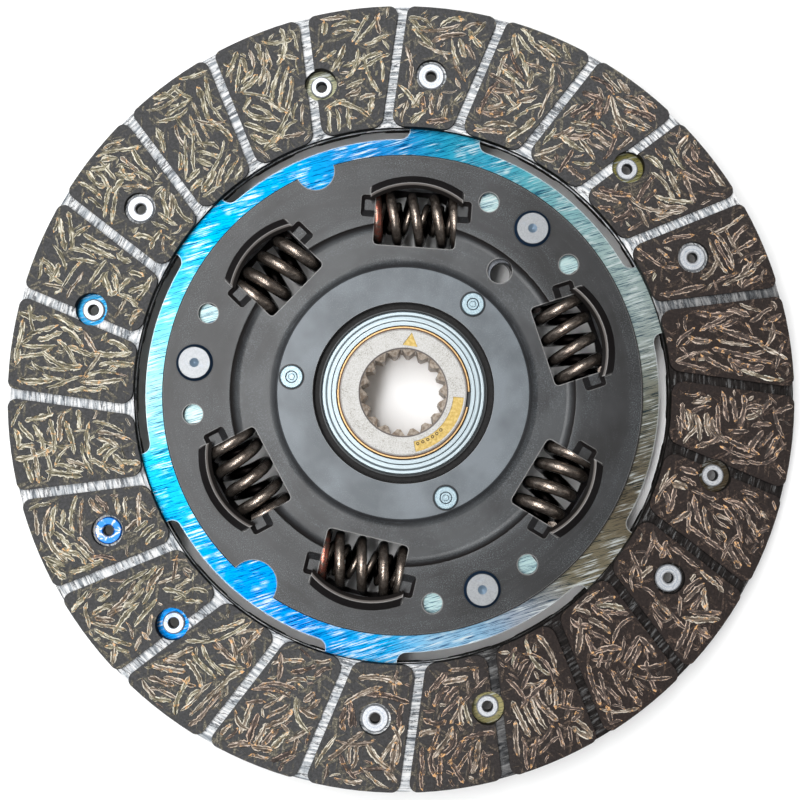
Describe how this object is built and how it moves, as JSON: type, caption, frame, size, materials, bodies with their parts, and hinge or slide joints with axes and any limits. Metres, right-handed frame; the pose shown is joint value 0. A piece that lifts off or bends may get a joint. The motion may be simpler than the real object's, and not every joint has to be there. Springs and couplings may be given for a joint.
{
  "type": "clutch disc",
  "caption": "Round clutch disc with two grooved friction linings, six coil damper springs in windowed guide plates and a splined hub.",
  "frame": {"origin": "on the hub's bore axis, midway between the two friction faces", "axes": "+Z along the bore axis, out of the hub's short front end; +X and +Y lie in the disc's plane"},
  "size_m": [0.2, 0.2, 0.022],
  "materials": {
    "friction_lining": "dark woven and moulded lining full of short copper and tan fibres",
    "rivet_zinc": "zinc plated",
    "spring_sheet": "brushed, heat tinted blue to straw",
    "phosphated_steel": "dark phosphated, scuffed",
    "bright_rivet_steel": "bright pressed",
    "hub_steel": "blasted face, machined flanks",
    "flange_steel": "plain pressed",
    "bush_steel": "fine turned",
    "tempered_ring": "tempered gold brown",
    "friction_plastic": "moulded",
    "spring_wire": "oil tempered, dark brown lacquer with a red paint mark on two end coils"
  },
  "bodies": {
    "friction_disc": {"front_lining": "friction_lining", "rear_lining": "friction_lining", "front_lining_rivets": "rivet_zinc", "rear_lining_rivets": "rivet_zinc", "cushion_disc": "spring_sheet", "front_guide_plate": "phosphated_steel", "rear_guide_plate": "phosphated_steel", "spacer_rivets": "bright_rivet_steel", "front_friction_washer": "friction_plastic", "washer_pegs": "rivet_zinc", "rear_friction_washer": "friction_plastic", "pressure_plate": "flange_steel", "diaphragm_spring": "flange_steel", "rear_bush": "friction_plastic"},
    "hub_assembly": {"hub": "hub_steel", "hub_flange": "flange_steel", "front_bush": "bush_steel", "retaining_ring": "tempered_ring"},
    "damper_springs": {"damper_spring_right_upper": "spring_wire", "damper_spring_top": "spring_wire", "damper_spring_left_upper": "spring_wire", "damper_spring_left_lower": "spring_wire", "damper_spring_bottom": "spring_wire", "damper_spring_right_lower": "spring_wire", "inner_spring_top": "spring_wire", "inner_spring_bottom": "spring_wire"}
  },
  "joints": [
    {"name": "damper_turn", "type": "hinge", "parent": "friction_disc", "child": "hub_assembly", "pos_m": [0, 0, 0], "axis": [0, 0, 1], "range_deg": [-6, 6], "stiffness_Nm_per_rad": 500, "deforming": ["damper_spring_right_upper", "damper_spring_top", "damper_spring_left_upper", "damper_spring_left_lower", "damper_spring_bottom", "damper_spring_right_lower", "inner_spring_top", "inner_spring_bottom"]},
    {"name": "spring_follow", "type": "hinge", "parent": "friction_disc", "child": "damper_springs", "pos_m": [0, 0, 0], "axis": [0, 0, 1], "range_deg": [-3, 3]}
  ],
  "couplings": [
    {"joint": "spring_follow", "follows": "damper_turn", "ratio": 0.5}
  ]
}
